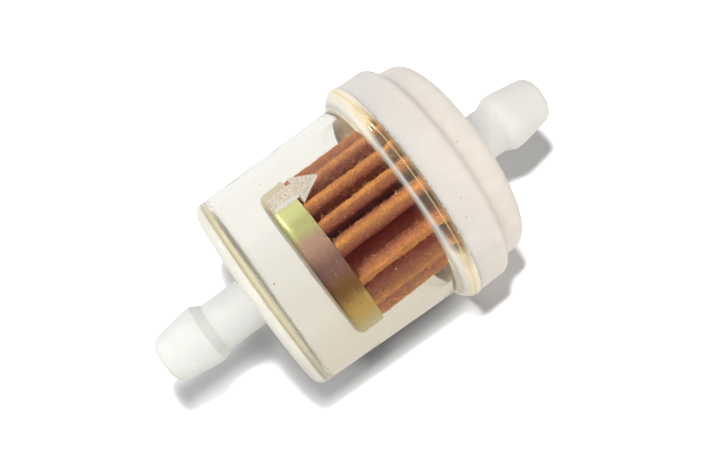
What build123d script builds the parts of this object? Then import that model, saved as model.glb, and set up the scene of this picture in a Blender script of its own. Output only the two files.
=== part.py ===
from build123d import *

import math
import os

# In-line fuel filter: a clear cup and a white outlet cap, welded together round a pleated
# paper element. The origin is on the flow axis, half-way between the two hose tips.
# +X is the way the fuel flows, and +Z goes up through the moulded flow arrow.

# ---- Driving dimensions, in millimetres ----

overall_length = 64.0

# Hose barbs, alike at both ends except for the length of the neck.
bore_radius = 1.8
neck_radius = 3.6
crest_radius = 4.35
tip_radius = 3.4
inlet_neck_length = 6.3
outlet_neck_length = 5.9
barb_back_length = 1.4
crest_land_length = 1.2
nose_length = 5.7
tip_round = 1.5
barb_edge_round = 0.8
neck_root_round = 0.5

# Clear cup, closed at the inlet end and drafted wider towards its lip.
cup_closed_radius = 14.8
cup_open_radius = 15.4
cup_wall = 1.4
cup_floor = 1.7
cup_dome_rise = 0.4
cup_corner_round = 1.5
cup_inner_corner_round = 0.8
lip_radius = 17.4
lip_length = 2.2
lip_root_round = 0.3

# The weld between the cup's tongue and the outlet cap's recess.
joint_x = 8.2
tongue_length = 2.0
tongue_radius = 15.3

# White outlet cap: a wide rim, a sloping step and a narrower drum.
rim_radius = 17.25
rim_end_radius = 17.15
rim_length = 4.7
step_length = 1.1
drum_radius = 15.5
drum_end_radius = 15.2
rim_edge_round = 1.2
step_root_round = 0.7
drum_edge_round = 1.9
cap_end_wall = 1.6
cap_inner_radius = 13.6
seat_land_height = 1.0
seat_land_radius = 8.2
spigot_radius = 3.0
spigot_length = 3.6

# Raised flow arrow on the cup.
arrow_tail_x = -8.45
arrow_shaft_length = 3.6
arrow_head_length = 3.4
arrow_shaft_width = 2.1
arrow_head_width = 4.2
arrow_height = 0.5
arrow_root_depth = 0.6

# Paper element. It hangs a little low from its seat in the outlet cap.
seal_thickness = 1.0
element_length = 23.0
element_seat_offset = 0.3
element_droop_angle = 1.35
droop_direction_angle = 211.5
end_cap_radius = 11.8
end_cap_rim_length = 4.0
end_cap_sheet = 0.4
end_cap_corner_round = 1.2
ring_hole_radius = 4.0
potting_thickness = 1.2
paper_embed_depth = 0.8
pleat_count = 16
pleat_outer_radius = 11.3
pleat_inner_radius = 6.4
ridge_half_width = 0.75
valley_half_width = 0.35
pleat_ridge_round = 0.7
pleat_valley_round = 0.3
paper_thickness = 0.6
tube_radius = 5.3
tube_wall = 0.4
tube_hole_radius = 1.1
tube_hole_rows = 5
tube_holes_per_row = 6

# ---- Places worked out from the dimensions above ----

inlet_tip_x = -overall_length / 2
outlet_tip_x = overall_length / 2
barb_head_length = barb_back_length + crest_land_length + nose_length
cup_face_x = inlet_tip_x + inlet_neck_length + barb_head_length
cap_face_x = outlet_tip_x - outlet_neck_length - barb_head_length
cup_floor_x = cup_face_x + cup_floor
cup_dome_sag = cup_dome_rise / 4  # how far the dome has fallen half-way out to the wall
lip_start_x = joint_x - lip_length
tongue_end_x = joint_x + tongue_length
rim_end_x = joint_x + rim_length
drum_start_x = rim_end_x + step_length
cap_floor_x = cap_face_x - cap_end_wall
seat_land_x = cap_floor_x - seat_land_height
spigot_end_x = seat_land_x - spigot_length
seat_x = seat_land_x - seal_thickness

# The element's own plane: its origin is the middle of the seat, and its normal runs from
# the outlet end to the inlet end of the element.
droop = math.radians(droop_direction_angle)
tilt = math.radians(element_droop_angle)
down_y = math.cos(droop)
down_z = math.sin(droop)
element_plane = Plane(
    origin=(seat_x, element_seat_offset * down_y, element_seat_offset * down_z),
    x_dir=(0, -down_z, down_y),
    z_dir=(-math.cos(tilt), math.sin(tilt) * down_y, math.sin(tilt) * down_z),
)


def barb_points(root_x, side, neck_length):
    """Half outline of a hose barb, from its root out to the mouth of its bore."""
    step_x = root_x + side * neck_length
    crest_x = step_x + side * barb_back_length
    nose_x = crest_x + side * crest_land_length
    tip_x = nose_x + side * nose_length
    return [
        (root_x, neck_radius),
        (step_x, neck_radius),
        (crest_x, crest_radius),
        (nose_x, crest_radius),
        (tip_x, tip_radius),
        (tip_x, bore_radius),
    ]


def round_corner(section, point, radius):
    """Round the corner of a half section that lies nearest to a point."""
    corner = section.vertices().sort_by_distance(Vector(*point))[0]
    fillet(corner, radius=radius)


def round_barb(section, points):
    """Round the root, the back of the crest and the tip of a barb's half outline."""
    root, step, tip = points[0], points[1], points[4]
    round_corner(section, root, neck_root_round)
    round_corner(section, step, barb_edge_round)
    round_corner(section, tip, tip_round)


def pleat_corners():
    """Corners of the folded paper's outline: two for each ridge and two for each valley."""
    half_pitch = math.pi / pleat_count
    ridge_half_angle = ridge_half_width / pleat_outer_radius
    valley_half_angle = valley_half_width / pleat_inner_radius
    corners = []
    for pleat in range(pleat_count):
        ridge = 2 * pleat * half_pitch
        valley = ridge + half_pitch
        corners.append((pleat_outer_radius, ridge - ridge_half_angle))
        corners.append((pleat_outer_radius, ridge + ridge_half_angle))
        corners.append((pleat_inner_radius, valley - valley_half_angle))
        corners.append((pleat_inner_radius, valley + valley_half_angle))
    return [(radius * math.cos(angle), radius * math.sin(angle)) for radius, angle in corners]


def is_ridge(vertex):
    """Tell an outer corner of the pleats from an inner one."""
    middle_radius = (pleat_outer_radius + pleat_inner_radius) / 2
    return math.hypot(vertex.X, vertex.Y) > middle_radius


# ---- Clear cup with the inlet barb and the flow arrow ----

with BuildPart() as flow_arrow:
    with BuildSketch(Plane.XY.offset(cup_closed_radius - cup_wall)):
        head_base_x = arrow_tail_x + arrow_shaft_length
        arrow_tip_x = head_base_x + arrow_head_length
        with BuildLine():
            Polyline(
                (arrow_tail_x, 0),
                (arrow_tail_x, arrow_shaft_width / 2),
                (head_base_x, arrow_shaft_width / 2),
                (head_base_x, arrow_head_width / 2),
                (arrow_tip_x, 0),
            )
            mirror(about=Plane.XZ)
        make_face()
    extrude(amount=2 * cup_wall + arrow_height)
    arrow_surface_radius = cup_closed_radius + (cup_open_radius - cup_closed_radius) / 2
    with BuildSketch(Plane.YZ.offset(arrow_tail_x)):
        Circle(arrow_surface_radius + arrow_height)
        Circle(arrow_surface_radius - arrow_root_depth, mode=Mode.SUBTRACT)
    extrude(amount=arrow_shaft_length + arrow_head_length, mode=Mode.INTERSECT)

inlet_barb = barb_points(cup_face_x, -1, inlet_neck_length)
cup_corner = (cup_face_x + cup_dome_rise, cup_closed_radius)
lip_root = (lip_start_x, cup_open_radius)
inner_floor_corner = (cup_floor_x, cup_closed_radius - cup_wall)

with BuildPart() as clear_cup:
    with BuildSketch(Plane.XY) as cup_section:
        with BuildLine():
            Polyline(*inlet_barb)
            Polyline(
                inlet_barb[-1],
                (cup_floor_x, bore_radius),
                inner_floor_corner,
                (tongue_end_x, cup_open_radius - cup_wall),
                (tongue_end_x, tongue_radius),
                (joint_x, tongue_radius),
                (joint_x, lip_radius),
            )
            TangentArc((joint_x, lip_radius), lip_root, tangent=(-1, 0))
            Line(lip_root, cup_corner)
            ThreePointArc(
                cup_corner,
                (cup_face_x + cup_dome_sag, (cup_closed_radius + neck_radius) / 2),
                inlet_barb[0],
            )
        make_face()
        round_barb(cup_section, inlet_barb)
        round_corner(cup_section, cup_corner, cup_corner_round)
        round_corner(cup_section, lip_root, lip_root_round)
        round_corner(cup_section, inner_floor_corner, cup_inner_corner_round)
    revolve(axis=Axis.X)
    add(flow_arrow.part)

# ---- White outlet cap with the outlet barb, the element's seat and its spigot ----

outlet_barb = barb_points(cap_face_x, 1, outlet_neck_length)
rim_edge = (rim_end_x, rim_end_radius)
step_root = (drum_start_x, drum_radius)
drum_edge = (cap_face_x, drum_end_radius)

with BuildPart() as outlet_cap:
    with BuildSketch(Plane.XY) as cap_section:
        with BuildLine():
            Polyline(*outlet_barb)
            Polyline(
                outlet_barb[-1],
                (spigot_end_x, bore_radius),
                (spigot_end_x, spigot_radius),
                (seat_land_x, spigot_radius),
                (seat_land_x, seat_land_radius),
                (cap_floor_x, seat_land_radius),
                (cap_floor_x, cap_inner_radius),
                (tongue_end_x, cap_inner_radius),
                (tongue_end_x, tongue_radius),
                (joint_x, tongue_radius),
                (joint_x, rim_radius),
                rim_edge,
                step_root,
                drum_edge,
                outlet_barb[0],
            )
        make_face()
        round_barb(cap_section, outlet_barb)
        round_corner(cap_section, rim_edge, rim_edge_round)
        round_corner(cap_section, step_root, step_root_round)
        round_corner(cap_section, drum_edge, drum_edge_round)
    revolve(axis=Axis.X)

# ---- Plated steel ends of the element ----

with BuildPart() as outlet_end_ring:
    with BuildSketch(element_plane):
        Circle(end_cap_radius)
    extrude(amount=end_cap_rim_length)
    seat_face = outlet_end_ring.faces().sort_by(Axis.X)[-1]
    fillet(seat_face.edges(), radius=end_cap_corner_round)
    open_face = outlet_end_ring.faces().sort_by(Axis.X)[0]
    offset(amount=-end_cap_sheet, openings=open_face)
    with BuildSketch(element_plane):
        Circle(ring_hole_radius)
    extrude(amount=end_cap_rim_length, mode=Mode.SUBTRACT)

with BuildPart() as inlet_end_cap:
    with BuildSketch(element_plane.offset(element_length - end_cap_rim_length)):
        Circle(end_cap_radius)
    extrude(amount=end_cap_rim_length)
    closed_face = inlet_end_cap.faces().sort_by(Axis.X)[0]
    fillet(closed_face.edges(), radius=end_cap_corner_round)
    open_face = inlet_end_cap.faces().sort_by(Axis.X)[-1]
    offset(amount=-end_cap_sheet, openings=open_face)

# ---- Pleated paper ----

paper_start = end_cap_sheet + potting_thickness - paper_embed_depth
paper_length = element_length - 2 * paper_start

with BuildPart() as pleated_paper:
    with BuildSketch(element_plane.offset(paper_start)) as folds:
        with BuildLine():
            Polyline(*pleat_corners(), close=True)
        make_face()
        fillet(folds.vertices().filter_by(is_ridge), radius=pleat_ridge_round)
        fillet(folds.vertices().filter_by(lambda v: not is_ridge(v)), radius=pleat_valley_round)
        offset(amount=-paper_thickness, mode=Mode.SUBTRACT)
    extrude(amount=paper_length)

# ---- Perforated centre tube that the pleats lean on ----

tube_length = element_length - 2 * end_cap_sheet
row_spacing = tube_length / (tube_hole_rows + 1)

with BuildPart() as support_tube:
    with BuildSketch(element_plane.offset(end_cap_sheet)):
        Circle(tube_radius)
        Circle(tube_radius - tube_wall, mode=Mode.SUBTRACT)
    extrude(amount=tube_length)
    for row in range(tube_hole_rows):
        row_plane = element_plane.offset(end_cap_sheet + (row + 1) * row_spacing)
        for hole in range(tube_holes_per_row):
            turn = 360 * (hole + row % 2 / 2) / tube_holes_per_row
            with BuildSketch(row_plane.rotated((0, 0, turn)).rotated((0, 90, 0))):
                Circle(tube_hole_radius)
            extrude(amount=tube_radius + tube_wall, mode=Mode.SUBTRACT)

# ---- Adhesive that holds the paper and the tube in the steel ends ----

potting_radius = end_cap_radius - end_cap_sheet
potting_corner_round = end_cap_corner_round - end_cap_sheet

with BuildPart() as outlet_potting:
    with BuildSketch(element_plane.offset(end_cap_sheet)):
        Circle(potting_radius)
    extrude(amount=potting_thickness)
    floor_face = outlet_potting.faces().sort_by(Axis.X)[-1]
    fillet(floor_face.edges(), radius=potting_corner_round)
    with BuildSketch(element_plane.offset(end_cap_sheet)):
        Circle(tube_radius)
    extrude(amount=potting_thickness, mode=Mode.SUBTRACT)
    add(pleated_paper.part, mode=Mode.SUBTRACT)

with BuildPart() as inlet_potting:
    with BuildSketch(element_plane.offset(element_length - end_cap_sheet)):
        Circle(potting_radius)
    extrude(amount=-potting_thickness)
    floor_face = inlet_potting.faces().sort_by(Axis.X)[0]
    fillet(floor_face.edges(), radius=potting_corner_round)
    with BuildSketch(element_plane.offset(element_length - end_cap_sheet)):
        Circle(tube_radius)
    extrude(amount=-potting_thickness, mode=Mode.SUBTRACT)
    add(pleated_paper.part, mode=Mode.SUBTRACT)

# ---- Soft washer between the element and its seat, squeezed to the element's tilt ----

with BuildPart() as seal_washer:
    with BuildSketch(Plane.YZ.offset(seat_land_x)):
        Circle(seat_land_radius)
        Circle(ring_hole_radius, mode=Mode.SUBTRACT)
    extrude(amount=-2 * seal_thickness)
    split(bisect_by=element_plane, keep=Keep.BOTTOM)

# ---- Labels and files ----

pieces = {
    "clear_cup": clear_cup,
    "outlet_cap": outlet_cap,
    "inlet_end_cap": inlet_end_cap,
    "outlet_end_ring": outlet_end_ring,
    "pleated_paper": pleated_paper,
    "support_tube": support_tube,
    "inlet_potting": inlet_potting,
    "outlet_potting": outlet_potting,
    "seal_washer": seal_washer,
}

os.makedirs("parts", exist_ok=True)
for piece_name, piece in pieces.items():
    piece.part.label = piece_name
    export_step(piece.part, f"parts/{piece_name}.step")
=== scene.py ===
"""In-line fuel filter: the detailed pieces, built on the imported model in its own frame.

Lengths are written in millimetres and scaled to metres where meshes are made. +X is the way
the fuel flows and +Z goes up through the raised flow arrow. Angles round an axis start at +Z
and turn towards -Y, the side that faces the viewer.
"""

import math
import random

import bmesh
import bpy
from mathutils import Matrix, Vector, noise


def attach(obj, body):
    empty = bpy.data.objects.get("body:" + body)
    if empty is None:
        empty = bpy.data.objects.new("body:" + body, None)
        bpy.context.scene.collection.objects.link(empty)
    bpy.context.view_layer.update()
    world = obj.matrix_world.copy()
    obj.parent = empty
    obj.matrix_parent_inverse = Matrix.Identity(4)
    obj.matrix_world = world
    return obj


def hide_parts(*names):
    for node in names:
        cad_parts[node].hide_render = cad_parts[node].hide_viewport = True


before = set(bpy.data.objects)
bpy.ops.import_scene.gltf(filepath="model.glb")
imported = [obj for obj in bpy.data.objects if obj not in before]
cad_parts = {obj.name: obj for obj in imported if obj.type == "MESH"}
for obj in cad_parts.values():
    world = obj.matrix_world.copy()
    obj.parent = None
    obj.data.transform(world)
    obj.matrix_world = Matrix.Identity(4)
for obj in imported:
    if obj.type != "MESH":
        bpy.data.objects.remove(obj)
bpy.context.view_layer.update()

MM = 0.001
X_AXIS = Vector((1, 0, 0))

# Hose barbs.
TIP_X = 32.0
BORE_R = 1.8
NECK_R = 3.6
CREST_R = 4.35
TIP_R = 3.4
BARB_BACK = 1.4
CREST_LAND = 1.2
NOSE = 5.7
TIP_ROUND = 1.5
BACK_ROUND = 0.8
ROOT_ROUND = 0.5

# Clear cup.
CUP_FACE_X = -17.4
CUP_FLOOR_X = -15.7
CUP_CORNER_X = -17.0
CUP_CLOSED_R = 14.8
CUP_OPEN_R = 15.4
CUP_INNER_CLOSED_R = 13.4
CUP_INNER_OPEN_R = 14.0
CUP_CORNER_ROUND = 1.5
CUP_INNER_ROUND = 0.8
LIP_START_X = 6.0
LIP_R = 17.4
LIP_EDGE_X = 6.3
LIP_RIDGE_X = 7.4
LIP_RIDGE_HEIGHT = 0.06
JOINT_X = 8.2
TONGUE_END_X = 10.2
TONGUE_R = 15.3
WELD_GAP = 0.03

# Share of light that the clear plastic scatters, place by place.
BARB_MILK = 0.92
FLOOR_MILK = 0.86
LIP_MILK = 0.06
# Painted highlights: thin lines round the lip's edge and ridge scatter much of the light, so they
# show white and gold.
LIP_EDGE_HIGHLIGHT_MILK = 0.8
LIP_RIDGE_HIGHLIGHT_MILK = 0.6
LIP_SIDE_MILK = 0.85

# White outlet cap.
RIM_R = 17.25
RIM_END_R = 17.15
RIM_END_X = 12.9
DRUM_START_X = 14.0
DRUM_R = 15.5
DRUM_END_R = 15.2
CAP_FACE_X = 17.8
CAP_FLOOR_X = 16.2
SEAT_LAND_X = 15.2
SEAT_LAND_R = 8.2
CAP_INNER_R = 13.6
SPIGOT_END_X = 11.6
SPIGOT_R = 3.0
RIM_EDGE_ROUND = 1.2
STEP_ROOT_ROUND = 0.7
DRUM_EDGE_ROUND = 1.9

# Flow arrow on the cup.
ARROW_TAIL_X = -8.45
ARROW_HEAD_X = -4.85
ARROW_TIP_X = -1.45
ARROW_SHAFT_HALF = 1.05
ARROW_HEAD_HALF = 2.1
ARROW_HEIGHT = 0.5
ARROW_ROOT = 0.25
ARROW_BEVEL = 0.2

# Paper element: its seat, its droop, and its parts along its own axis.
SEAT_X = 14.2
SEAT_OFFSET = 0.3
DROOP_DEG = 1.35
DROOP_TURN_DEG = 211.5
ELEMENT_LENGTH = 23.0
END_CAP_R = 11.8
END_CAP_RIM = 4.0
END_CAP_SHEET = 0.4
END_CAP_ROUND = 1.2
PAPER_START = 0.8
PAPER_END = 22.2
RIDGE_R = 11.35
VALLEY_R = 6.5
PAPER_SHEET = 0.3
FIBRE_COUNT = 7200

# Where each fold's ridge stands round the element, in degrees. The folds are uneven.
RIDGE_TURNS_DEG = (
    -49.5, -22.5, -3.3, 13.2, 31.2, 60.0, 83.5, 105.5,
    128.5, 151.5, 174.0, 197.5, 220.5, 243.5, 266.5, 288.5,
)

# The camera looks across the filter from above its -Y side.
VIEW_TURN_DEG = 31.5
VIEW_LEAN_DEG = 5.19
VIEW_ROLL_DEG = 35.7
CAMERA_DISTANCE = 110.0
CAMERA_FOOT_X = -11.0
CAMERA_OFFSET = -0.965
LENS_MM = 40.22
SENSOR_MM = 36.0

FLOOR_Z = -17.42
FLOOR_BOUNCE = 0.8
SKY_LIGHT = 0.42
DARK_SIDE_DEG = 22.0

# How finely round shapes are divided.
ARC_STEPS = 7
LIP_STEPS = 40
CUP_SEGMENTS = 288
CAP_SEGMENTS = 224
END_CAP_SEGMENTS = 256
WELD_SEGMENTS = 720
HALF_FOLD_STEPS = 20
PAPER_RINGS = 170

# The colour sockets of the Mix node, whose names its other sockets share.
MIX_FIRST, MIX_SECOND, MIX_RESULT = 6, 7, 2

element_down = Vector(
    (0, math.cos(math.radians(DROOP_TURN_DEG)), math.sin(math.radians(DROOP_TURN_DEG)))
)
element_seat = Vector((SEAT_X, 0, 0)) + SEAT_OFFSET * element_down
droop = math.radians(DROOP_DEG)
element_axis = -X_AXIS * math.cos(droop) + element_down * math.sin(droop)
element_turn = (-X_AXIS).rotation_difference(element_axis)


# ---- Places ----


def housing_point(x, radius, turn):
    """A point on the housing, from its place along the flow axis, radius and angle."""
    return Vector((x, -radius * math.sin(turn), radius * math.cos(turn)))


def element_point(height, radius, turn):
    """A point on the paper element, measured from its seat along its own tilted axis."""
    return element_seat + element_turn @ housing_point(-height, radius, turn)


def smooth_step(low, high, value):
    """0 below low, 1 above high, and a smooth rise between."""
    t = min(1.0, max(0.0, (value - low) / (high - low)))
    return t * t * (3 - 2 * t)


def bell(value, centre, width):
    """1 at the centre, and less and less to both sides of it."""
    return math.exp(-(((value - centre) / width) ** 2))


def waves(point, size, seed=0.0):
    """Smooth noise of about -1 to 1 with features of the given size in millimetres."""
    return noise.noise(point / size + Vector((seed, 1.7 * seed, -0.6 * seed)))


# ---- Meshes ----


def add_piece(name, mesh, material):
    """Put a mesh in the scene as a smooth-shaded object."""
    mesh.materials.append(material)
    mesh.shade_smooth()
    piece = bpy.data.objects.new(name, mesh)
    bpy.context.scene.collection.objects.link(piece)
    return piece


def new_object(name, vertices, faces, material):
    """A mesh object in metres, from vertices in millimetres, with its faces outward."""
    mesh = bpy.data.meshes.new(name)
    mesh.from_pydata([v * MM for v in vertices], [], faces)
    mesh.update()
    turner = bmesh.new()
    turner.from_mesh(mesh)
    bmesh.ops.recalc_face_normals(turner, faces=turner.faces)
    turner.to_mesh(mesh)
    turner.free()
    return add_piece(name, mesh, material)


def store(piece, name, values):
    """Keep one number for each vertex, for a material to read."""
    layer = piece.data.attributes.new(name, "FLOAT", "POINT")
    layer.data.foreach_set("value", values)


def close_up(piece, reach_mm):
    """Join points closer than reach, and drop points and edges that no face uses."""
    cleaner = bmesh.new()
    cleaner.from_mesh(piece.data)
    bmesh.ops.remove_doubles(cleaner, verts=cleaner.verts, dist=reach_mm * MM)
    loose_edges = [e for e in cleaner.edges if not e.link_faces]
    bmesh.ops.delete(cleaner, geom=loose_edges, context="EDGES")
    loose_points = [v for v in cleaner.verts if not v.link_faces]
    bmesh.ops.delete(cleaner, geom=loose_points, context="VERTS")
    cleaner.to_mesh(piece.data)
    cleaner.free()


def rounded_outline(corners):
    """A closed half section. Each corner is (along, radius, rounding)."""
    outline = []
    count = len(corners)
    for i, (x, r, rounding) in enumerate(corners):
        here = Vector((x, r))
        if rounding == 0:
            outline.append(here)
            continue
        before = Vector(corners[i - 1][:2]) - here
        after = Vector(corners[(i + 1) % count][:2]) - here
        half = before.angle(after) / 2
        reach = rounding / math.tan(half)
        start = here + before.normalized() * reach
        end = here + after.normalized() * reach
        middle = here + (before.normalized() + after.normalized()).normalized() * (
            rounding / math.sin(half)
        )
        sweep = (start - middle).angle_signed(end - middle)
        for step in range(ARC_STEPS + 1):
            arm = start - middle
            arm.rotate(Matrix.Rotation(-sweep * step / ARC_STEPS, 2))
            outline.append(middle + arm)
    return outline


def divide(outline, longest):
    """Add points so that no stretch of a closed outline is longer than given."""
    fine = []
    for i, point in enumerate(outline):
        following = outline[(i + 1) % len(outline)]
        pieces = max(1, math.ceil((following - point).length / longest))
        fine += [point.lerp(following, k / pieces) for k in range(pieces)]
    return fine


def ring_faces(sections, around):
    """Faces of a ring of closed sections with the given number of points each."""
    faces = []
    for here in range(sections):
        a = here * around
        b = (here + 1) % sections * around
        for i in range(around):
            j = (i + 1) % around
            faces.append((a + i, a + j, b + j, b + i))
    return faces


def lathe(name, outline, material, segments, shape, place=housing_point):
    """Turn a closed outline round an axis. shape moves each point a little."""
    vertices = []
    for segment in range(segments):
        turn = math.tau * segment / segments
        for x, r in outline:
            vertices.append(place(*shape(x, r, turn), turn))
    return new_object(name, vertices, ring_faces(segments, len(outline)), material)


def barb_corners(side, root_x):
    """Half section of a hose barb from its root out to the mouth of its bore."""
    tip = side * TIP_X
    nose = tip - side * NOSE
    crest = nose - side * CREST_LAND
    back = crest - side * BARB_BACK
    return [
        (root_x, NECK_R, ROOT_ROUND),
        (back, NECK_R, BACK_ROUND),
        (crest, CREST_R, 0.3),
        (nose, CREST_R, 1.2),
        (tip, TIP_R, TIP_ROUND),
        (tip, BORE_R, 0.15),
    ]


# ---- Shader building ----


def either_ray(tree, first, second):
    """1 for a ray of either kind that the Light Path node names, otherwise 0."""
    path = tree.nodes.new("ShaderNodeLightPath")
    higher = tree.nodes.new("ShaderNodeMath")
    higher.operation = "MAXIMUM"
    tree.links.new(path.outputs[first], higher.inputs[0])
    tree.links.new(path.outputs[second], higher.inputs[1])
    return higher.outputs["Value"]


def camera_ray(tree):
    """1 for a ray straight from the camera, otherwise 0."""
    return tree.nodes.new("ShaderNodeLightPath").outputs["Is Camera Ray"]


def mixed_shader(tree, factor, first, second):
    """The first shader where the factor is 0, and the second where it is 1."""
    mixer = tree.nodes.new("ShaderNodeMixShader")
    for socket, source in zip(mixer.inputs, (factor, first, second)):
        tree.links.new(source, socket)
    return mixer.outputs["Shader"]


def set_range(node, low, high, start, end):
    """Make a Map Range node map low..high to start..end."""
    for name, value in zip(("From Min", "From Max", "To Min", "To Max"), (low, high, start, end)):
        node.inputs[name].default_value = value


class Shader:
    """A material with one Principled shader and short ways to add pattern nodes."""

    def __init__(self, name):
        self.material = bpy.data.materials.new(name)
        self.material.use_nodes = True
        self.tree = self.material.node_tree
        self.nodes = self.tree.nodes
        self.links = self.tree.links
        self.surface = self.nodes["Principled BSDF"]
        self.output = self.nodes["Material Output"]
        self.place = self.nodes.new("ShaderNodeTexCoord").outputs["Object"]

    def set(self, **values):
        """Set plain values on the shader's own sockets, named with underscores."""
        for key, value in values.items():
            self.surface.inputs[key.replace("_", " ")].default_value = value

    def connect(self, source, socket_name):
        """Let a pattern drive one of the shader's sockets."""
        self.links.new(source, self.surface.inputs[socket_name])

    def noise(self, size_mm, detail=3.0, rough=0.55, distortion=0.0, stretch=(1, 1, 1)):
        """Noise from 0 to 1 with features of about size_mm, stretched along the axes."""
        mapping = self.nodes.new("ShaderNodeMapping")
        mapping.inputs["Scale"].default_value = stretch
        self.links.new(self.place, mapping.inputs["Vector"])
        texture = self.nodes.new("ShaderNodeTexNoise")
        texture.inputs["Scale"].default_value = 1 / (size_mm * MM)
        texture.inputs["Detail"].default_value = detail
        texture.inputs["Roughness"].default_value = rough
        texture.inputs["Distortion"].default_value = distortion
        self.links.new(mapping.outputs["Vector"], texture.inputs["Vector"])
        return texture.outputs["Fac"]

    def attribute(self, name):
        """A number that store kept on the mesh."""
        reader = self.nodes.new("ShaderNodeAttribute")
        reader.attribute_name = name
        return reader.outputs["Fac"]

    def axis(self, letter):
        """Place along one axis of the frame, in metres."""
        split = self.nodes.new("ShaderNodeSeparateXYZ")
        self.links.new(self.place, split.inputs["Vector"])
        return split.outputs[letter]

    def ramp(self, source, *stops):
        """Colour or grey by value. Each stop is (place, colour or grey)."""
        node = self.nodes.new("ShaderNodeValToRGB")
        node.color_ramp.interpolation = "EASE"
        while len(node.color_ramp.elements) < len(stops):
            node.color_ramp.elements.new(0.5)
        for element, (position, colour) in zip(node.color_ramp.elements, stops):
            element.position = position
            if isinstance(colour, (int, float)):
                colour = (colour,) * 3
            element.color = (*colour, 1)
        self.links.new(source, node.inputs["Fac"])
        return node.outputs["Color"]

    def mottle(self, pattern, low, high):
        """Two colours or greys, blended by a noise pattern."""
        return self.ramp(pattern, (0.3, low), (0.7, high))

    def math(self, operation, first, second=0.0, third=0.0):
        """A Math node on sockets or plain numbers."""
        node = self.nodes.new("ShaderNodeMath")
        node.operation = operation
        for socket, value in zip(node.inputs, (first, second, third)):
            if isinstance(value, (int, float)):
                socket.default_value = value
            else:
                self.links.new(value, socket)
        return node.outputs[0]

    def span(self, source, low, high, start=0.0, end=1.0):
        """Map source from low..high to start..end, held at both ends."""
        node = self.nodes.new("ShaderNodeMapRange")
        set_range(node, low, high, start, end)
        self.links.new(source, node.inputs["Value"])
        return node.outputs["Result"]

    def mix(self, factor, first, second):
        """Mix two colours, given as sockets or plain colours, by a socket."""
        node = self.nodes.new("ShaderNodeMix")
        node.data_type = "RGBA"
        self.links.new(factor, node.inputs["Factor"])
        for place, colour in ((MIX_FIRST, first), (MIX_SECOND, second)):
            if isinstance(colour, tuple):
                node.inputs[place].default_value = (*colour, 1)
            else:
                self.links.new(colour, node.inputs[place])
        return node.outputs[MIX_RESULT]

    def bump(self, height, depth_mm):
        """Small relief that is too fine for the mesh."""
        node = self.nodes.new("ShaderNodeBump")
        node.inputs["Distance"].default_value = depth_mm * MM
        self.links.new(height, node.inputs["Height"])
        self.connect(node.outputs["Normal"], "Normal")

    def let_light_through(self, share):
        """Let a share of the light from lamps and from matt surfaces pass straight through."""
        clear = self.nodes.new("ShaderNodeBsdfTransparent")
        clear.inputs["Color"].default_value = (share, share, share, 1)
        light = either_ray(self.tree, "Is Shadow Ray", "Is Diffuse Ray")
        self.show(
            mixed_shader(self.tree, light, self.surface.outputs["BSDF"], clear.outputs["BSDF"])
        )

    def show(self, shader):
        """Use a shader as the material's surface."""
        self.links.new(shader, self.output.inputs["Surface"])


# ---- Materials ----


def paint_highlight_line(s, along, x, solid_mm, end_mm, colour, tint):
    """Paint a thin highlight line round the cup that fades out from its solid middle to its end.
    """
    away = s.math("ABSOLUTE", s.math("SUBTRACT", along, x * MM))
    return s.mix(s.span(away, solid_mm * MM, end_mm * MM, 1.0, 0.0), colour, tint)


def cup_colour(s, along, zone, lip):
    """Cool on the barb, creamy in the thick floor, clean on the wall, golden at the lip, with
    painted highlight lines round the lip: gold on its ridge, white at its edge.
    """
    cloud = s.noise(2.2, detail=4)
    barb = s.mottle(cloud, (0.84, 0.845, 0.815), (0.88, 0.885, 0.855))
    floor = s.mottle(cloud, (0.86, 0.835, 0.745), (0.90, 0.88, 0.80))
    wall = s.mottle(cloud, (0.985, 0.975, 0.94), (0.995, 0.99, 0.965))
    cup = s.mix(s.ramp(zone, (0.85, 0.0), (0.97, 1.0)), floor, wall)
    cup = s.mix(lip, cup, (0.98, 0.90, 0.74))
    # Painted highlights: a gold line on the lip's ridge and a white line at its edge.
    cup = paint_highlight_line(s, along, LIP_RIDGE_X, 0.05, 0.2, cup, (0.97, 0.76, 0.38))
    cup = paint_highlight_line(s, along, LIP_EDGE_X, 0.1, 0.3, cup, (0.98, 0.96, 0.92))
    return s.mix(s.ramp(zone, (0.36, 0.0), (0.44, 1.0)), barb, cup)


def clear_plastic():
    """Clear, faintly yellow plastic, milky on the barb, the floor and the lip's sides."""
    s = Shader("clear_plastic_moulded")
    along = s.axis("X")
    zone = s.span(along, (CUP_FACE_X - 1.6) * MM, (CUP_FLOOR_X + 0.7) * MM)
    lip = s.span(along, (LIP_START_X - 0.4) * MM, (LIP_START_X + 0.4) * MM)
    slant = s.nodes.new("ShaderNodeLayerWeight")
    slant.inputs["Blend"].default_value = 0.5
    side = s.span(slant.outputs["Facing"], 0.18, 0.44, 0.0, LIP_SIDE_MILK)
    milk = s.math("MAXIMUM", s.attribute("milk"), s.math("MULTIPLY", lip, side))
    s.connect(s.math("SUBTRACT", 1.0, milk), "Transmission Weight")
    s.connect(s.ramp(zone, (0.3, 0.32), (0.5, 0.12), (0.9, 0.02)), "Roughness")
    s.connect(cup_colour(s, along, zone, lip), "Base Color")
    s.set(IOR=1.28)
    s.bump(s.noise(1.6, detail=1), 0.012)
    haze = s.nodes.new("ShaderNodeVolumeAbsorption")
    haze.inputs["Color"].default_value = (0.98, 0.93, 0.72, 1)
    haze.inputs["Density"].default_value = 13.0
    s.links.new(haze.outputs["Volume"], s.output.inputs["Volume"])
    s.let_light_through(0.5)
    return s.material


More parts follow.
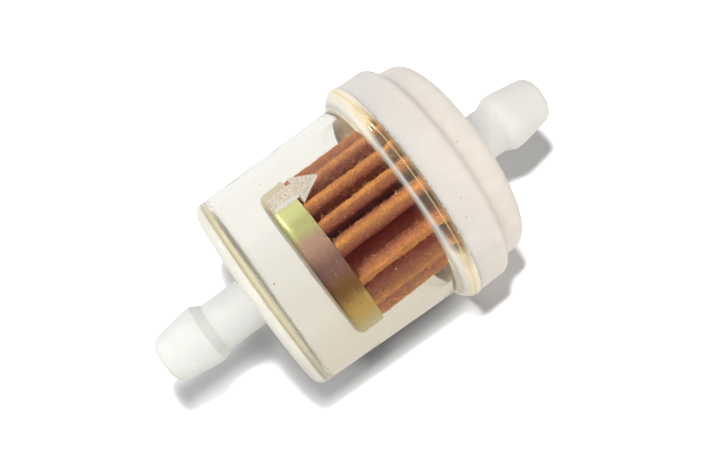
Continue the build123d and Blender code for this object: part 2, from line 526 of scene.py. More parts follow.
def frosted_arrow():
    """The raised arrow: a spark-eroded, grainy face and a clearer bevel, painted near white as a
    highlight.
    """
    s = Shader("clear_plastic_frosted")
    grain = s.noise(0.28, detail=5, rough=0.7, distortion=0.6)
    colour = s.ramp(
        grain,
        (0.35, (0.52, 0.43, 0.33)),
        (0.5, (0.70, 0.62, 0.50)),
        (0.66, (0.88, 0.83, 0.74)),
    )
    top = s.attribute("top")
    # Painted highlight: the bevel round the arrow is painted near white.
    s.connect(s.mix(s.span(top, 0.75, 0.97), (0.98, 0.96, 0.92), colour), "Base Color")
    s.connect(s.span(top, 0.3, 0.9, 0.1, 0.5), "Roughness")
    s.connect(s.span(top, 0.2, 0.6, 0.8, 0.15), "Transmission Weight")
    s.set(IOR=1.49)
    s.bump(grain, 0.06)
    s.let_light_through(0.6)
    return s.material


def white_plastic():
    """Milky white moulded plastic with faint flow clouds and a satin skin, and painted shade that
    turns it darker and warmer towards -Y.

    Its inner surfaces glow a little, for the daylight that comes through the real plastic.
    """
    s = Shader("white_plastic_moulded")
    cloud = s.noise(5.0, detail=5, rough=0.6, distortion=0.8)
    # Painted shade: the lit copy at +Y turns into the darker, warmer shaded copy at -Y.
    painted_shade_side = s.span(s.axis("Y"), 14 * MM, -16 * MM)
    light = s.mottle(cloud, (0.75, 0.71, 0.67), (0.79, 0.75, 0.71))
    shade = s.mottle(cloud, (0.75, 0.695, 0.635), (0.80, 0.745, 0.68))
    barb = s.mottle(cloud, (0.77, 0.76, 0.72), (0.81, 0.80, 0.76))
    on_barb = s.span(s.axis("X"), (CAP_FACE_X - 0.3) * MM, (CAP_FACE_X + 1.0) * MM)
    s.connect(s.mix(on_barb, s.mix(painted_shade_side, light, shade), barb), "Base Color")
    s.connect(s.mottle(s.noise(1.2, detail=4), 0.34, 0.48), "Roughness")
    s.set(
        Subsurface_Weight=1.0,
        Subsurface_Radius=(1.0, 0.9, 0.8),
        Subsurface_Scale=2.5 * MM,
        IOR=1.5,
        Coat_Weight=0.15,
        Coat_Roughness=0.25,
        Emission_Color=(1.0, 0.93, 0.82, 1),
    )
    s.connect(s.math("MULTIPLY", s.attribute("inside"), 0.5), "Emission Strength")
    s.bump(s.noise(0.5, detail=3), 0.012)
    return s.material


def filter_paper():
    """Resin-cured filter paper, fuzzy on the folds, with painted light on the ridges and painted
    shade down the walls into the dark valleys.
    """
    s = Shader("filter_paper_cured")
    fold = s.attribute("fold")
    fibre = s.noise(0.30, detail=6, rough=0.75, distortion=1.5)
    streak = s.noise(1.4, detail=3, stretch=(0.25, 1, 1))
    tuft = s.span(fibre, 0.3, 0.7, -0.24, 0.24)
    painted_fold_shade = s.math("ADD", fold, tuft)
    painted_fold_shade = s.math("ADD", painted_fold_shade, s.math("MULTIPLY_ADD", streak, 0.16, -0.08))
    painted_fold_shade = s.math("MULTIPLY", painted_fold_shade, 0.9)
    # Painted light and shade by fold: pale orange on the ridges, darker down the walls, deep red
    # in the valleys.
    colour = s.ramp(
        painted_fold_shade,
        (0.0, (0.34, 0.026, 0.008)),
        (0.36, (0.31, 0.040, 0.018)),
        (0.57, (0.37, 0.082, 0.044)),
        (0.74, (0.48, 0.150, 0.086)),
        (0.86, (0.64, 0.225, 0.058)),
        (1.0, (0.84, 0.36, 0.085)),
    )
    strand = s.noise(0.7, detail=2, rough=0.6, distortion=1.2)
    hair = s.ramp(
        strand, (0.44, 0.0), (0.47, 0.5), (0.50, 0.0), (0.55, 0.0), (0.58, 0.5), (0.61, 0.0)
    )
    hair = s.math("MULTIPLY", hair, s.span(fold, 0.45, 0.95))
    s.connect(s.mix(hair, colour, (0.88, 0.46, 0.17)), "Base Color")
    s.set(Roughness=0.92, Specular_IOR_Level=0.15, Sheen_Weight=0.06, Sheen_Roughness=0.6)
    s.bump(s.math("ADD", fibre, hair), 0.4)
    return s.material


def paper_fibre():
    """A loose fibre of the paper, paler than the sheet."""
    s = Shader("filter_paper_fibre")
    tint = s.noise(0.9, detail=2)
    s.connect(s.mottle(tint, (0.52, 0.20, 0.07), (0.78, 0.40, 0.16)), "Base Color")
    s.set(Roughness=0.9, Specular_IOR_Level=0.1)
    return s.material


def chromate_tints_and_painted_reflection(s, blotch):
    """The film's green, pink and gold tints round the steel, set by the angle from the side in
    view, with a painted highlight and painted dark reflection among them.
    """
    wander = s.math("MULTIPLY_ADD", blotch, 0.07, -0.035)
    return s.ramp(
        s.math("ADD", s.attribute("turn"), wander),
        (0.02, (0.46, 0.41, 0.27)),
        (0.12, (0.52, 0.45, 0.30)),
        (0.22, (0.52, 0.38, 0.28)),
        # Painted highlight: the pale yellow-green band.
        (0.30, (0.55, 0.56, 0.25)),
        (0.38, (0.52, 0.52, 0.22)),
        (0.44, (0.50, 0.31, 0.22)),
        # Painted dark reflection: the dark bands where the steel faces the camera.
        (0.54, (0.24, 0.12, 0.10)),
        (0.63, (0.21, 0.10, 0.03)),
        (0.74, (0.50, 0.32, 0.08)),
        (0.86, (0.52, 0.44, 0.20)),
        (1.00, (0.50, 0.47, 0.30)),
    )


def yellow_chromate(banded):
    """Yellow chromate on steel, with or without colour bands round it: the film's tints with
    painted highlight and painted dark reflection.
    """
    s = Shader("plated_steel_banded_painted_reflection" if banded else "plated_steel_plain")
    blotch = s.noise(1.6, detail=4, rough=0.6, distortion=0.5)
    if banded:
        colour = chromate_tints_and_painted_reflection(s, blotch)
    else:
        colour = s.mottle(blotch, (0.52, 0.44, 0.26), (0.58, 0.56, 0.30))
    scratch = s.ramp(
        s.noise(0.25, detail=3, stretch=(1, 0.08, 0.08)), (0.62, 0.0), (0.75, 0.35)
    )
    s.connect(s.mix(scratch, colour, (0.85, 0.80, 0.68)), "Base Color")
    s.connect(s.mottle(blotch, 0.26, 0.42), "Roughness")
    s.set(Metallic=0.55)
    s.bump(s.noise(0.8, detail=3), 0.02)
    return s.material


def tinned_steel():
    """Dull grey tinned sheet."""
    s = Shader("bare_steel_tinned")
    blotch = s.noise(1.2, detail=4)
    s.connect(s.mottle(blotch, (0.50, 0.50, 0.49), (0.64, 0.63, 0.61)), "Base Color")
    s.connect(s.mottle(blotch, 0.28, 0.45), "Roughness")
    s.set(Metallic=0.9)
    s.bump(s.noise(0.3, detail=2, stretch=(1, 0.1, 0.1)), 0.01)
    return s.material


def cured_adhesive():
    """The amber plastisol that holds the paper's ends."""
    s = Shader("adhesive_cured")
    blotch = s.noise(0.9, detail=4, distortion=1.0)
    s.connect(s.mottle(blotch, (0.55, 0.40, 0.19), (0.72, 0.58, 0.34)), "Base Color")
    s.connect(s.mottle(blotch, 0.35, 0.6), "Roughness")
    s.bump(blotch, 0.06)
    return s.material


def seal_rubber():
    """Matt black rubber."""
    s = Shader("seal_rubber_matte")
    grain = s.noise(0.2, detail=4)
    s.connect(s.mottle(grain, (0.02, 0.02, 0.02), (0.045, 0.044, 0.042)), "Base Color")
    s.connect(s.mottle(grain, 0.55, 0.8), "Roughness")
    s.bump(grain, 0.02)
    return s.material


def weld_plastic():
    """The squeezed-out bead of the weld, whitened where it was rubbed."""
    s = Shader("weld_flash_plastic")
    rubbed = s.noise(0.5, detail=4, rough=0.7)
    s.connect(s.ramp(rubbed, (0.4, (0.78, 0.66, 0.47)), (0.6, (0.95, 0.92, 0.85))), "Base Color")
    s.connect(s.ramp(rubbed, (0.4, 0.08), (0.6, 0.35)), "Roughness")
    s.set(Transmission_Weight=0.5, IOR=1.49)
    s.bump(rubbed, 0.05)
    return s.material


def speck(name, dark, pale):
    """A small foreign grain, mottled between two colours."""
    s = Shader(name)
    grain = s.noise(0.15, detail=3)
    s.connect(s.ramp(grain, (0.35, dark), (0.65, pale)), "Base Color")
    s.set(Roughness=0.7)
    return s.material


# ---- Pieces of the housing ----


def cup_milk(x, r):
    """Share of light that the plastic scatters: much on the barb and floor, much on the painted
    highlight lines round the lip, little elsewhere.
    """
    barb = BARB_MILK * (1 - smooth_step(CUP_FACE_X - 0.3, CUP_FACE_X + 0.1, x))
    inside = r < CUP_INNER_CLOSED_R + 0.2 and x > CUP_FLOOR_X - 0.05
    floor_end = CUP_FLOOR_X + (0.9 if inside else 0.2)
    floor = FLOOR_MILK * (1 - smooth_step(floor_end - 0.4, floor_end, x))
    lip = LIP_MILK * smooth_step(LIP_START_X - 0.4, LIP_START_X + 0.4, x)
    if r <= CUP_OPEN_R:
        return max(barb, floor, lip)
    # Painted highlight lines round the lip's edge and ridge.
    edge = LIP_EDGE_HIGHLIGHT_MILK * bell(x, LIP_EDGE_X, 0.09)
    ridge = LIP_RIDGE_HIGHLIGHT_MILK * bell(x, LIP_RIDGE_X, 0.07)
    return max(barb, floor, lip, edge, ridge)


def lip_corners():
    """The arc that swells from the cup's wall out to the weld."""
    chord = Vector((JOINT_X - LIP_START_X, LIP_R - CUP_OPEN_R))
    arc_r = chord.length_squared / (2 * chord.y)
    full = math.asin(chord.x / arc_r)
    arc = []
    for step in range(1, LIP_STEPS):
        a = full * (1 - step / LIP_STEPS)
        arc.append((JOINT_X - arc_r * math.sin(a), LIP_R - arc_r * (1 - math.cos(a)), 0))
    return arc


def make_cup():
    """Cup wall, domed floor, weld lip and inlet barb in one closed skin."""
    corners = list(reversed(barb_corners(-1, CUP_FACE_X)))
    corners += [
        (CUP_FACE_X + 0.1, (CUP_CLOSED_R + NECK_R) / 2, 0),
        (CUP_CORNER_X, CUP_CLOSED_R, CUP_CORNER_ROUND),
        (LIP_START_X, CUP_OPEN_R, 0.4),
    ]
    corners += lip_corners()
    corners += [
        (JOINT_X, LIP_R, 0),
        (JOINT_X, TONGUE_R, 0),
        (TONGUE_END_X, TONGUE_R, 0.2),
        (TONGUE_END_X, CUP_INNER_OPEN_R, 0.2),
        (CUP_FLOOR_X, CUP_INNER_CLOSED_R, CUP_INNER_ROUND),
        (CUP_FLOOR_X, BORE_R, 0.15),
    ]
    outline = divide(rounded_outline(corners), 0.7)

    def uneven(x, r, turn):
        """Slight sink and flow waves of the moulding, none on the weld faces."""
        spot = housing_point(x, r, turn)
        free = 1 - smooth_step(JOINT_X - 0.6, JOINT_X - 0.1, x)
        free *= 0.15 + 0.85 * smooth_step(CUP_FLOOR_X, CUP_FLOOR_X + 4, x)
        swell = 0.022 * waves(spot, 5.5) + 0.01 * waves(spot, 2.0, 4.0)
        ridge = LIP_RIDGE_HEIGHT * bell(x, LIP_RIDGE_X, 0.09) if r > CUP_OPEN_R else 0
        return x + 0.5 * swell * free, r + swell * free + ridge

    piece = lathe("clear_cup_body", outline, clear_plastic(), CUP_SEGMENTS, uneven)
    store(piece, "milk", [cup_milk(x, r) for x, r in outline] * CUP_SEGMENTS)
    return piece


def inside_cap(x, r):
    """1 on the cap's inner surfaces, which glow, and 0 on the others."""
    outer_r = TONGUE_R if x < TONGUE_END_X + 0.1 else CAP_INNER_R
    return float(BORE_R + 0.2 < r < outer_r + 0.1 and x < CAP_FLOOR_X + 0.1)


def make_cap():
    """White cap: rim, sloping step, drum and barb outside, seat and spigot inside."""
    joint = JOINT_X + WELD_GAP
    corners = list(reversed(barb_corners(1, CAP_FACE_X)))
    corners += [
        (CAP_FACE_X, DRUM_END_R, DRUM_EDGE_ROUND),
        (DRUM_START_X, DRUM_R, STEP_ROOT_ROUND),
        (RIM_END_X, RIM_END_R, RIM_EDGE_ROUND),
        (joint, RIM_R, 0.12),
        (joint, TONGUE_R + WELD_GAP, 0),
        (TONGUE_END_X + WELD_GAP, TONGUE_R + WELD_GAP, 0),
        (TONGUE_END_X + WELD_GAP, CAP_INNER_R, 0),
        (CAP_FLOOR_X, CAP_INNER_R, 0.4),
        (CAP_FLOOR_X, SEAT_LAND_R, 0),
        (SEAT_LAND_X, SEAT_LAND_R, 0.1),
        (SEAT_LAND_X, SPIGOT_R, 0),
        (SPIGOT_END_X, SPIGOT_R, 0.3),
        (SPIGOT_END_X, BORE_R, 0.1),
    ]
    outline = divide(rounded_outline(corners), 0.9)

    def uneven(x, r, turn):
        """Slight waves of the moulding, none at the weld."""
        free = smooth_step(joint + 0.1, joint + 1.0, x)
        swell = 0.02 * waves(housing_point(x, r, turn), 6.0, 2.0) * free
        return x + swell, r + swell

    piece = lathe("outlet_cap_body", outline, white_plastic(), CAP_SEGMENTS, uneven)
    store(piece, "inside", [inside_cap(x, r) for x, r in outline] * CAP_SEGMENTS)
    return piece


def arrow_inside(x, across):
    """How far inside the arrow's outline a point lies; negative outside."""
    shaft = min(x - ARROW_TAIL_X, ARROW_HEAD_X + 0.5 - x, ARROW_SHAFT_HALF - abs(across))
    length = ARROW_TIP_X - ARROW_HEAD_X
    slope = math.hypot(length, ARROW_HEAD_HALF)
    edge = (ARROW_HEAD_HALF * (ARROW_TIP_X - x) - length * abs(across)) / slope
    return max(shaft, min(x - ARROW_HEAD_X, edge))


def make_arrow():
    """Raised arrow: a bevelled relief with a grainy top that hugs the cup's wall."""
    spacing = 0.055
    margin = 0.15
    wide = ARROW_HEAD_HALF + margin
    columns = int((ARROW_TIP_X - ARROW_TAIL_X + 2 * margin) / spacing)
    rows = int(2 * wide / spacing)
    vertices = []
    tops = []
    wall_r = (CUP_CLOSED_R + CUP_OPEN_R) / 2
    for i in range(columns + 1):
        for j in range(rows + 1):
            x = ARROW_TAIL_X - margin + i * spacing
            across = -wide + j * spacing
            rise = smooth_step(-0.06, ARROW_BEVEL, arrow_inside(x, across))
            grain = 0.035 * waves(Vector((x, across, 0)), 0.22) * smooth_step(0.85, 1, rise)
            height = -ARROW_ROOT + (ARROW_ROOT + ARROW_HEIGHT) * rise + grain
            vertices.append(housing_point(x, wall_r + height, -across / wall_r))
            tops.append(rise)
    faces = []
    for i in range(columns):
        for j in range(rows):
            a = i * (rows + 1) + j
            b = a + rows + 1
            square = (a, b, b + 1, a + 1)
            if max(tops[k] for k in square) > 0:
                faces.append(square)
    piece = new_object("flow_arrow_relief", vertices, faces, frosted_arrow())
    store(piece, "top", tops)
    close_up(piece, 0.0001)
    return piece


def make_weld():
    """Uneven bead that the spin weld squeezed out between the lip and the cap."""
    around = 8
    middle_x = JOINT_X + WELD_GAP / 2
    middle_r = RIM_R - 0.02
    vertices = []
    for segment in range(WELD_SEGMENTS):
        turn = math.tau * segment / WELD_SEGMENTS
        spot = housing_point(0, 17.0, turn)
        bead = 0.07 + 0.06 * waves(spot, 1.1, 3.0) + 0.05 * waves(spot, 0.35, 5.0)
        nub = 0.5 * max(0.0, waves(spot, 0.8, 11.0) - 0.42)
        size = max(0.015, bead) + nub
        for k in range(around):
            a = math.tau * k / around
            x = middle_x + size * math.cos(a)
            vertices.append(housing_point(x, middle_r + size * math.sin(a), turn))
    faces = ring_faces(WELD_SEGMENTS, around)
    return new_object("weld_flash", vertices, faces, weld_plastic())


# ---- Pieces of the element ----


def fold_shape(share):
    """How far the sheet drops from ridge (0) to valley (1), by share of the way."""
    crown, root = 0.13, 0.9
    round_drop = 0.06
    if share < crown:
        return round_drop * (share / crown) ** 2
    if share < root:
        return round_drop + (1 - 2 * round_drop) * (share - crown) / (root - crown)
    return 1 - round_drop + round_drop * (1 - ((1 - share) / (1 - root)) ** 2)


def fold_valleys(ridges):
    """The angle of each valley, about half-way between two ridges."""
    valleys = []
    for ridge, following in zip(ridges, ridges[1:] + [ridges[0] + math.tau]):
        valleys.append((ridge + following) / 2 + math.radians(random.uniform(-1.5, 1.5)))
    return valleys


def fold_section(h, ridges, valleys):
    """The sheet's middle line right round the element at one height.

    Each point is (radius, angle, fold), where fold is 1 on a ridge and 0 in a valley.
    """
    section = []
    for i, ridge in enumerate(ridges):
        foot_before = valleys[i - 1] - (math.tau if i == 0 else 0)
        crest = ridge + math.radians(0.8) * waves(Vector((h, 7.0 * i, 0)), 6.0)
        lift = 0.16 * waves(Vector((h, 5.0 * i, 3.0)), 3.5)
        for k in range(-HALF_FOLD_STEPS, HALF_FOLD_STEPS):
            share = abs(k) / HALF_FOLD_STEPS
            foot = foot_before if k < 0 else valleys[i]
            drop = fold_shape(share)
            radius = RIDGE_R + lift * (1 - share) - (RIDGE_R - VALLEY_R) * drop
            section.append((radius, crest + (foot - crest) * share**0.85, 1 - drop))
    return section


def skin_point(h, section, k, side):
    """Radius and angle of a point on the sheet's outer (1) or inner (-1) skin."""
    here, before, after = (
        Vector((r * math.cos(turn), r * math.sin(turn)))
        for r, turn, _ in (section[k], section[k - 1], section[(k + 1) % len(section)])
    )
    along = after - before
    out = Vector((along.y, -along.x)).normalized()
    spot = Vector((h, here.x, here.y))
    bow = 0.1 * waves(spot, 2.6, 9.0)
    fluff = 0.08 * waves(spot, 0.5, 2.0) + 0.07 * waves(spot, 0.25, 6.0) if side > 0 else 0
    moved = here + out * (side * PAPER_SHEET / 2 + bow + fluff)
    radius = min(moved.length, END_CAP_R - END_CAP_SHEET - 0.06)
    return radius, math.atan2(moved.y, moved.x)


def sheet_faces(width):
    """Faces of both skins of the sheet, and of its two cut edges."""
    faces = []
    inner_start = (PAPER_RINGS + 1) * width
    for start in (0, inner_start):
        for ring in range(PAPER_RINGS):
            a = start + ring * width
            b = a + width
            for k in range(width):
                m = (k + 1) % width
                faces.append((a + k, a + m, b + m, b + k))
    for outer in (0, PAPER_RINGS * width):
        inner = inner_start + outer
        for k in range(width):
            m = (k + 1) % width
            faces.append((outer + k, outer + m, inner + m, inner + k))
    return faces


# Places where a fibre can stand, kept while the paper is made.
fibre_roots = []


def make_paper():
    """Sixteen uneven folds, with wandering ridges, bowed walls and a fibrous skin."""
    random.seed(11)
    ridges = [math.radians(turn) for turn in RIDGE_TURNS_DEG]
    valleys = fold_valleys(ridges)
    sections = []
    for ring in range(PAPER_RINGS + 1):
        h = PAPER_START + (PAPER_END - PAPER_START) * ring / PAPER_RINGS
        sections.append((h, fold_section(h, ridges, valleys)))
    rooted_h = ELEMENT_LENGTH - END_CAP_RIM + 0.4
    vertices = []
    folds = []
    for side in (1, -1):
        for h, section in sections:
            for k, (_, _, fold) in enumerate(section):
                radius, turn = skin_point(h, section, k, side)
                vertices.append(element_point(h, radius, turn))
                folds.append(fold)
                if side > 0 and fold > 0.68 and h < rooted_h:
                    fibre_roots.append((h, radius, turn))
    faces = sheet_faces(len(sections[0][1]))
    piece = new_object("pleated_paper_folds", vertices, faces, filter_paper())
    store(piece, "fold", folds)
    return piece


def random_vector():
    return Vector([random.gauss(0, 1) for _ in range(3)])


def make_fibres():
    """Loose, curled, tapering fibres that stand up from the ridges of the folds."""
    random.seed(23)
    steps = 4
    sides = 3
    vertices = []
    faces = []
    for h, radius, turn in random.sample(fibre_roots, FIBRE_COUNT):
        spot = element_point(h, radius - 0.01, turn)
        outward = (element_point(h, radius + 1, turn) - spot).normalized()
        heading = random_vector()
        heading = (heading - heading.dot(outward) * outward).normalized()
        heading = (heading + random.uniform(0.1, 0.5) * outward).normalized()
        curl = random_vector() * 0.6
        length = random.uniform(0.3, 0.9)
        thin = random.uniform(0.019, 0.038)
        first = len(vertices)
        for k in range(steps + 1):
            side = heading.cross(outward)
            side = side.normalized() if side.length > 0.1 else X_AXIS
            other = heading.cross(side).normalized()
            taper = thin * (1 - 0.5 * k / steps)
            for corner in range(sides):
                a = math.tau * corner / sides
                vertices.append(spot + taper * (math.cos(a) * side + math.sin(a) * other))
            heading = (heading + curl / steps - 0.25 * outward).normalized()
            spot = spot + heading * (length / steps)
        for k in range(steps):
            a = first + sides * k
            b = a + sides
            for corner in range(sides):
                m = (corner + 1) % sides
                faces.append((a + corner, a + m, b + m, b + corner))
        end = first + sides * steps
        faces += [(first, first + 1, first + 2), (end, end + 1, end + 2)]
    return new_object("paper_fuzz", vertices, faces, paper_fibre())


def band_place(turn):
    """Where an angle lies in the colour bands, film tints and painted reflection set from the
    side in view: 0 to 1 across that side, and back.
    """
    from_view = (math.degrees(turn) - VIEW_TURN_DEG + 180) % 360 - 180
    if abs(from_view) > 90:
        from_view = math.copysign(180 - abs(from_view), from_view)
    return 0.5 + from_view / 180


def make_end_cap():
    """Pressed steel cap on the inlet end, slightly out of true, with a burred rim."""
    open_h = ELEMENT_LENGTH - END_CAP_RIM
    inner_r = END_CAP_R - END_CAP_SHEET
    inner_h = ELEMENT_LENGTH - END_CAP_SHEET
    inner_round = END_CAP_ROUND - END_CAP_SHEET
    centre_r = 0.001
    corners = [
        (ELEMENT_LENGTH, centre_r, 0),
        (ELEMENT_LENGTH, END_CAP_R, END_CAP_ROUND),
        (open_h, END_CAP_R, 0.12),
        (open_h, inner_r, 0.1),
        (inner_h, inner_r, inner_round),
        (inner_h, centre_r, 0),
    ]
    outline = divide(rounded_outline(corners), 0.5)
    burr_turn = math.radians(VIEW_TURN_DEG - 88)

    def pressed(h, r, turn):
        """Dents and ripples, and a small burr where the sheet was cut."""
        spot = element_point(h, r, turn)
        rim = smooth_step(open_h + 1.2, open_h, h)
        ripple = 0.035 * waves(spot, 4.0, 1.0) + 0.012 * waves(spot, 1.2, 2.0)
        from_burr = (turn - burr_turn + math.pi) % math.tau - math.pi
        burr = 0.28 * bell(from_burr, 0, 0.035) * rim
        edge = 0.05 * waves(spot, 0.7, 8.0) * rim
        return h - edge, r + (ripple + burr) * smooth_step(2, 8, r)

    steel = yellow_chromate(True)
    piece = lathe("inlet_cap_shell", outline, steel, END_CAP_SEGMENTS, pressed, element_point)
    # Each point keeps its place in the colour bands of painted reflection and film tints.
    bands = []
    for segment in range(END_CAP_SEGMENTS):
        bands += [band_place(math.tau * segment / END_CAP_SEGMENTS)] * len(outline)
    store(piece, "turn", bands)
    close_up(piece, 0.003)
    return piece


def make_specks(name, spots, size, material, seed):
    """Small irregular grains. Each spot is a point and the direction away from the surface."""
    random.seed(seed)
    grains = bmesh.new()
    for point, out in spots:
        wide = size * random.uniform(0.6, 1.3)
        turn = out.to_track_quat("Z", "Y").to_matrix().to_4x4()
        shape = Matrix.Diagonal((wide, wide * random.uniform(0.5, 1.0), wide * 0.35, 1))
        made = bmesh.ops.create_icosphere(
            grains, subdivisions=2, radius=1, matrix=Matrix.Translation(point) @ turn @ shape
        )
        for v in made["verts"]:
            v.co += (v.co - point) * 0.35 * waves(v.co, size * 1.4, seed)
    mesh = bpy.data.meshes.new(name)
    grains.to_mesh(mesh)
    grains.free()
    mesh.transform(Matrix.Scale(MM, 4))
    return add_piece(name, mesh, material)


def on_housing(x, radius, turn_deg):
    """A point on the housing, and the direction straight out from the axis there."""
    turn = math.radians(turn_deg)
    return housing_point(x, radius, turn), housing_point(0, 1, turn)


def make_cup_grains():
    """Two burnt grains moulded into the cup."""
    tan = speck("plastic_burnt_grain", (0.45, 0.20, 0.07), (0.62, 0.34, 0.14))
    grains = [on_housing(-7.8, 15.04, -16.4), on_housing(-13.5, 14.9, 31.5)]
    return make_specks("cup_grains", grains, 0.15, tan, 3)


def make_cup_dust():
    """Pale dust that clings to the inside of the cup in front of the paper."""
    pale = speck("pale_dust", (0.85, 0.80, 0.74), (0.97, 0.95, 0.92))
    middle_r = CUP_INNER_OPEN_R - 0.3
    open_r = CUP_INNER_OPEN_R - 0.1
    grains = [
        on_housing(-0.9, middle_r, 38.9),
        on_housing(-1.8, middle_r, 48.8),
        on_housing(-1.6, middle_r, 49.6),
        on_housing(-0.3, middle_r, 62.6),
        on_housing(4.9, open_r, 30.2),
        on_housing(5.1, open_r, 29.4),
    ]
    return make_specks("cup_dust", grains, 0.075, pale, 4)


def make_cap_grains():
    """Dark grains moulded into the white cap."""
    dark = speck("plastic_dark_grain", (0.34, 0.25, 0.18), (0.55, 0.44, 0.35))
    grains = [
        on_housing(10.6, 17.22, 47.3),
        on_housing(9.95, 17.23, 55.6),
        on_housing(14.5, 15.5, 27.4),
        on_housing(11.7, 17.2, 12.0),
    ]
    return make_specks("cap_grains", grains, 0.08, dark, 5)


# ---- Put the pieces in ----


def ride_and_replace(piece, slot, *nodes):
    """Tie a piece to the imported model, in place of any CAD nodes it stands for."""
    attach(piece, "root")
    if nodes:
        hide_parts(*nodes)


# What a lamp can be told to light.
light_groups = {"floor": [], "housing": [], "element": []}

for make, slot, group, *nodes in (
    (make_cup, "clear_plastic", "housing", "clear_cup"),
    (make_arrow, "clear_plastic", "housing"),
    (make_cap, "white_plastic", "housing", "outlet_cap"),
    (make_weld, "clear_plastic", "housing"),
    (make_paper, "filter_paper", "element", "pleated_paper"),
    (make_fibres, "filter_paper", "element"),
    (make_end_cap, "plated_steel", "element", "inlet_end_cap"),
    (make_cup_grains, "clear_plastic", "housing"),
    (make_cup_dust, "clear_plastic", "element"),
    (make_cap_grains, "white_plastic", "housing"),
):
    piece = make()
    ride_and_replace(piece, slot, *nodes)
    light_groups[group].append(piece)

for node, material in (
    ("outlet_end_ring", yellow_chromate(False)),
    ("support_tube", tinned_steel()),
    ("inlet_potting", cured_adhesive()),
    ("outlet_potting", cured_adhesive()),
    ("seal_washer", seal_rubber()),
):
    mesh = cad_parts[node].data
    mesh.materials.clear()
    mesh.materials.append(material)
    light_groups["element"].append(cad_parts[node])


# ---- Floor, light and camera ----


def floor_material():
    """Pale paper that fades into the backdrop. Seen through the plastic it glows bright, with a
    painted shadow that darkens towards -Y; other bounced rays see an even bounce glow.
    """
    s = Shader("studio_floor_paper")
    s.nodes.remove(s.surface)
    paper = s.nodes.new("ShaderNodeBsdfDiffuse")
    tone = s.mottle(s.noise(6.0, detail=4), 0.90, 0.92)
    s.links.new(tone, paper.inputs["Color"])
    horizon = s.nodes.new("ShaderNodeEmission")
    horizon.inputs["Color"].default_value = (1.0, 1.0, 0.99, 1)
    distance = s.nodes.new("ShaderNodeVectorMath")
    distance.operation = "LENGTH"
    s.links.new(s.place, distance.inputs[0])
    far = s.span(distance.outputs["Value"], 90 * MM, 240 * MM)
    ground = mixed_shader(s.tree, far, paper.outputs["BSDF"], horizon.outputs["Emission"])
    bounce = s.nodes.new("ShaderNodeEmission")
    bounce.inputs["Color"].default_value = (1.0, 0.99, 0.97, 1)
    bounce.inputs["Strength"].default_value = FLOOR_BOUNCE
    bent_view = s.nodes.new("ShaderNodeEmission")
    # Painted shadow: seen through the plastic, the floor turns darker and warmer towards -Y.
    painted_floor_shadow = s.ramp(
        s.span(s.axis("Y"), -8 * MM, 24 * MM),
        (0.0, (0.70, 0.64, 0.55)),
        (0.35, (0.80, 0.77, 0.70)),
        (0.62, (0.86, 0.845, 0.80)),
        (1.0, (0.94, 0.94, 0.92)),
    )
    s.links.new(painted_floor_shadow, bent_view.inputs["Color"])
    bent = either_ray(s.tree, "Is Transmission Ray", "Is Glossy Ray")
    indirect = mixed_shader(
        s.tree, bent, bounce.outputs["Emission"], bent_view.outputs["Emission"]
    )
    s.show(mixed_shader(s.tree, camera_ray(s.tree), indirect, ground))
    return s.material


def make_floor():
    """The wide pale floor that the filter rests on."""
    half = 900.0
    corners = [(-half, -half), (half, -half), (half, half), (-half, half)]
    mesh = bpy.data.meshes.new("studio_floor")
    mesh.from_pydata([Vector((x, y, FLOOR_Z)) * MM for x, y in corners], [], [(0, 1, 2, 3)])
    mesh.materials.append(floor_material())
    floor = bpy.data.objects.new("studio_floor", mesh)
    bpy.context.scene.collection.objects.link(floor)
    light_groups["floor"].append(floor)


def view_directions():
    """Square across the filter as the camera sees it, and from the filter to the camera."""
    turn = math.radians(VIEW_TURN_DEG)
    across = Vector((0, math.cos(turn), math.sin(turn)))
    towards = Vector((0, -math.sin(turn), math.cos(turn)))
    return across, towards


def camera_place():
    """Where the camera stands, in millimetres."""
    across, towards = view_directions()
    return Vector((CAMERA_FOOT_X, 0, 0)) + CAMERA_OFFSET * across + CAMERA_DISTANCE * towards


def make_camera():
    """The photograph's camera: nearly square to the flow axis, and rolled."""
    across, towards = view_directions()
    lean = math.radians(VIEW_LEAN_DEG)
    roll = math.radians(VIEW_ROLL_DEG)
    back = math.cos(lean) * towards - math.sin(lean) * X_AXIS
    along = math.cos(lean) * X_AXIS + math.sin(lean) * towards
    right = math.cos(roll) * along - math.sin(roll) * across
    up = math.sin(roll) * along + math.cos(roll) * across
    data = bpy.data.cameras.new("camera")
    data.lens = LENS_MM
    data.sensor_width = SENSOR_MM
    data.clip_start = 0.005
    data.clip_end = 10.0
    camera = bpy.data.objects.new("camera", data)
    turned = Matrix((right, up, back)).transposed().to_4x4()
    camera.matrix_world = Matrix.Translation(camera_place() * MM) @ turned
    bpy.context.scene.collection.objects.link(camera)
    bpy.context.scene.camera = camera


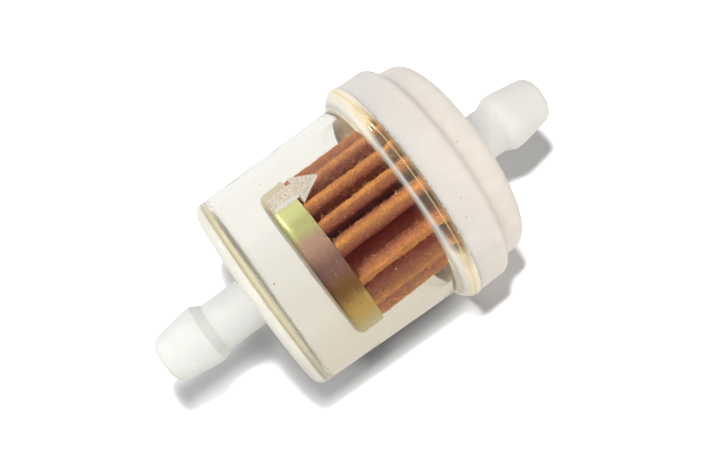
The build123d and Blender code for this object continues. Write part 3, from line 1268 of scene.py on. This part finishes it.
def make_sky():
    """An even sky, a white backdrop, and a darker side that only bent and mirrored rays see."""
    world = bpy.data.worlds.new("studio")
    bpy.context.scene.world = world
    world.use_nodes = True
    tree = world.node_tree
    sky = tree.nodes["Background"]
    sky.inputs["Color"].default_value = (1.0, 0.995, 0.985, 1)
    sky.inputs["Strength"].default_value = SKY_LIGHT
    backdrop = tree.nodes.new("ShaderNodeBackground")
    backdrop.inputs["Color"].default_value = (1, 1, 0.985, 1)
    mirrored = tree.nodes.new("ShaderNodeBackground")
    mirrored.inputs["Color"].default_value = (1, 1, 0.99, 1)
    turn = math.radians(VIEW_TURN_DEG + DARK_SIDE_DEG)
    facing = tree.nodes.new("ShaderNodeVectorMath")
    facing.operation = "DOT_PRODUCT"
    facing.inputs[1].default_value = (0, -math.sin(turn), math.cos(turn))
    heading = tree.nodes.new("ShaderNodeTexCoord").outputs["Generated"]
    tree.links.new(heading, facing.inputs[0])
    fade = tree.nodes.new("ShaderNodeMapRange")
    fade.interpolation_type = "SMOOTHSTEP"
    set_range(fade, -0.1, 0.5, 1.0, 0.16)
    tree.links.new(facing.outputs["Value"], fade.inputs["Value"])
    tree.links.new(fade.outputs["Result"], mirrored.inputs["Strength"])
    bent = either_ray(tree, "Is Glossy Ray", "Is Transmission Ray")
    indirect = mixed_shader(tree, bent, sky.outputs["Background"], mirrored.outputs["Background"])
    seen = mixed_shader(tree, camera_ray(tree), indirect, backdrop.outputs["Background"])
    tree.links.new(seen, tree.nodes["World Output"].inputs["Surface"])


def lamp_blockers(name, lit):
    """What shades a lamp. Only on the floor does the clear plastic throw a shadow."""
    see_through = [] if "floor" in lit else ["clear_cup_body", "flow_arrow_relief"]
    if "element" in lit:
        see_through += ["outlet_cap_body", "weld_flash"]
    blockers = bpy.data.collections.new(f"{name}_stoppers")
    for group in light_groups.values():
        for piece in group:
            if piece.name not in see_through:
                blockers.objects.link(piece)
    return blockers


def add_lamp(name, place, power, size, lit, kind="AREA", glossy=False):
    """A lamp aimed at the filter's middle that lights only the named groups of pieces."""
    data = bpy.data.lights.new(name, kind)
    data.energy = power
    if kind == "AREA":
        data.shape = "DISK"
        data.size = size * MM
    else:
        data.shadow_soft_size = size / 2 * MM
    lamp = bpy.data.objects.new(name, data)
    lamp.location = place * MM
    lamp.rotation_mode = "QUATERNION"
    lamp.rotation_quaternion = place.to_track_quat("Z", "Y")
    lamp.visible_camera = False
    lamp.visible_glossy = glossy
    lamp.visible_transmission = glossy
    bpy.context.scene.collection.objects.link(lamp)
    receivers = bpy.data.collections.new(f"{name}_lights")
    for group in lit:
        for piece in light_groups[group]:
            receivers.objects.link(piece)
    lamp.light_linking.receiver_collection = receivers
    lamp.light_linking.blocker_collection = lamp_blockers(name, lit)


def make_lamps():
    """Softboxes for the housing and the element, and one lamp for the floor's shadow."""
    across, towards = view_directions()
    camera = camera_place()
    shadow = camera + 15.0 * X_AXIS + 38.0 * across
    add_lamp("floor_lamp", shadow, power=2.1, size=20.0, lit=["floor"], kind="POINT")
    front = camera * 2.2 + 150 * across - 60 * X_AXIS
    add_lamp("front_softbox", front, power=0.46, size=120.0, lit=["housing"])
    high = camera * 1.4 + 250 * across - 60 * X_AXIS
    add_lamp("element_softbox", high, power=1.2, size=100.0, lit=["element"])
    low = camera * 1.6 - 130 * across + 70 * X_AXIS
    add_lamp("low_fill", low, power=0.18, size=120.0, lit=["housing"])
    add_lamp("element_fill", low, power=0.48, size=100.0, lit=["element"])
    add_lamp("element_front", camera * 1.6, power=0.08, size=60.0, lit=["element"])
    edge = 170 * (-0.65 * X_AXIS + 0.18 * towards + 0.74 * across)
    both = ["element", "housing"]
    add_lamp("edge_softbox", edge, power=0.035, size=22.0, lit=both, glossy=True)


make_floor()
make_sky()
make_lamps()
make_camera()

scene = bpy.context.scene
scene.view_settings.view_transform = "Standard"
scene.cycles.use_denoising = True
scene.cycles.max_bounces = 40
scene.cycles.transmission_bounces = 32
scene.cycles.transparent_max_bounces = 16
scene.cycles.glossy_bounces = 32
scene.cycles.diffuse_bounces = 3
scene.cycles.caustics_reflective = False
scene.cycles.caustics_refractive = False
